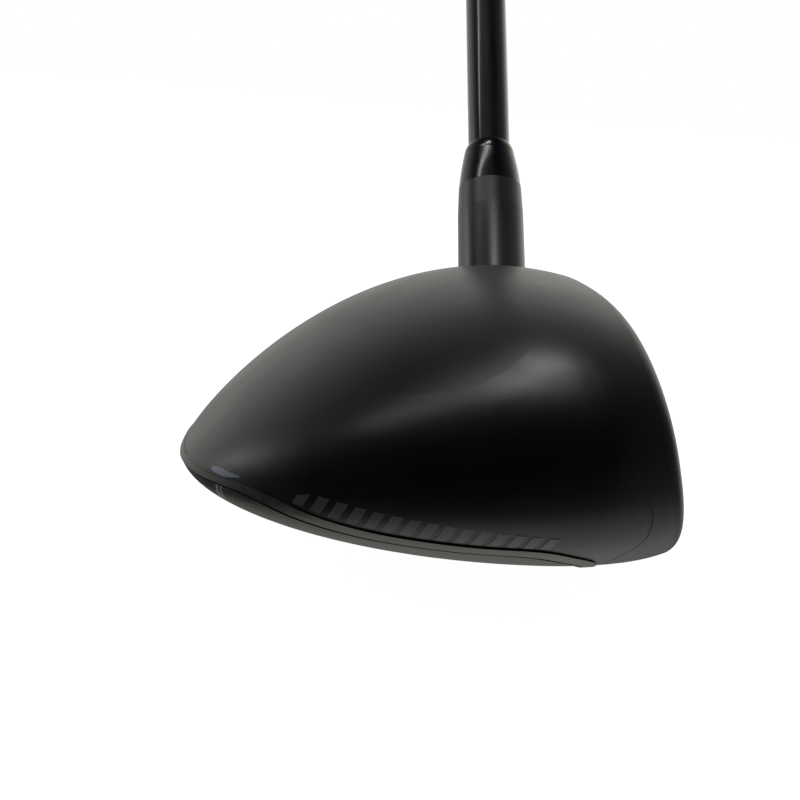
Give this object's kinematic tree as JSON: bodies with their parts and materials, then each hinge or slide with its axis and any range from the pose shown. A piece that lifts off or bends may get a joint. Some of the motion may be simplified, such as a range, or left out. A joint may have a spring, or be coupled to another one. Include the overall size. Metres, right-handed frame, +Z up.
{
  "type": "fairway wood",
  "caption": "Right-handed fairway wood golf club: matte black hollow head, lofted face, keyed adjustable hosel sleeve, removable rear weight, tapered graphite shaft and rubber grip.",
  "frame": {"origin": "point of the sole that rests on the ground at address", "axes": "+X toward the target (face side), -Y toward the toe, +Y toward the heel and up the shaft's lean, +Z up"},
  "size_m": [0.078, 0.6745, 0.9248],
  "materials": {
    "head_paint": "matte black paint on cast steel",
    "face_steel": "matte black on forged steel, milled score lines",
    "crown_carbon": "matte black over carbon fibre",
    "sole_metal": "satin gunmetal",
    "epoxy": "cured structural adhesive",
    "accent": "blue-grey enamel",
    "melt_glue": "hot-melt glue",
    "weight_steel": "turned",
    "fastener_steel": "black oxide",
    "gasket_rubber": "matte",
    "sleeve_aluminium": "satin dark grey anodised",
    "ferrule_plastic": "polished black",
    "shaft_carbon": "clear-coated carbon fibre",
    "plug_cork": "cork",
    "tape_paper": "paper tape",
    "grip_rubber": "moulded, textured",
    "cap_plastic": "moulded"
  },
  "bodies": {
    "shaft_assembly": {"adapter_sleeve": "sleeve_aluminium", "ferrule": "ferrule_plastic", "shaft": "shaft_carbon", "tip_plug": "plug_cork", "grip_tape": "tape_paper", "grip": "grip_rubber", "grip_butt_cap": "cap_plastic"},
    "head": {"head_body": "head_paint", "face_cup": "face_steel", "crown_panel": "crown_carbon", "crown_adhesive": "epoxy", "sole_panel": "sole_metal", "sole_adhesive": "epoxy", "badge": "accent", "hot_melt": "melt_glue", "bolt_washer": "fastener_steel"},
    "hosel_bolt": {"hosel_bolt": "fastener_steel", "bolt_retainer": "fastener_steel"},
    "rear_weight": {"rear_weight": "weight_steel", "weight_gasket": "gasket_rubber"},
    "rear_weight_screw": {"rear_weight_screw": "fastener_steel"}
  },
  "joints": [
    {"name": "head_slide", "type": "slide", "parent": "shaft_assembly", "child": "head", "axis": [0, -0.5373, -0.8434], "range_m": [0, 0.03]},
    {"name": "hosel_bolt_turn", "type": "hinge", "parent": "head", "child": "hosel_bolt", "pos_m": [0.0069, 0.03656, 0.01265], "axis": [0, -0.5373, -0.8434], "continuous": true},
    {"name": "rear_weight_slide", "type": "slide", "parent": "head", "child": "rear_weight", "axis": [-0.1465, 0, -0.9892], "range_m": [0, 0.008]},
    {"name": "rear_weight_screw_turn", "type": "hinge", "parent": "rear_weight", "child": "rear_weight_screw", "pos_m": [-0.034, 0, 0.00291], "axis": [-0.1465, 0, -0.9892], "range_deg": [0, 3600.5]}
  ],
  "couplings": [
    {"joint": "rear_weight_screw_turn", "follows": "rear_weight_slide", "rad_per_m": 7854}
  ]
}
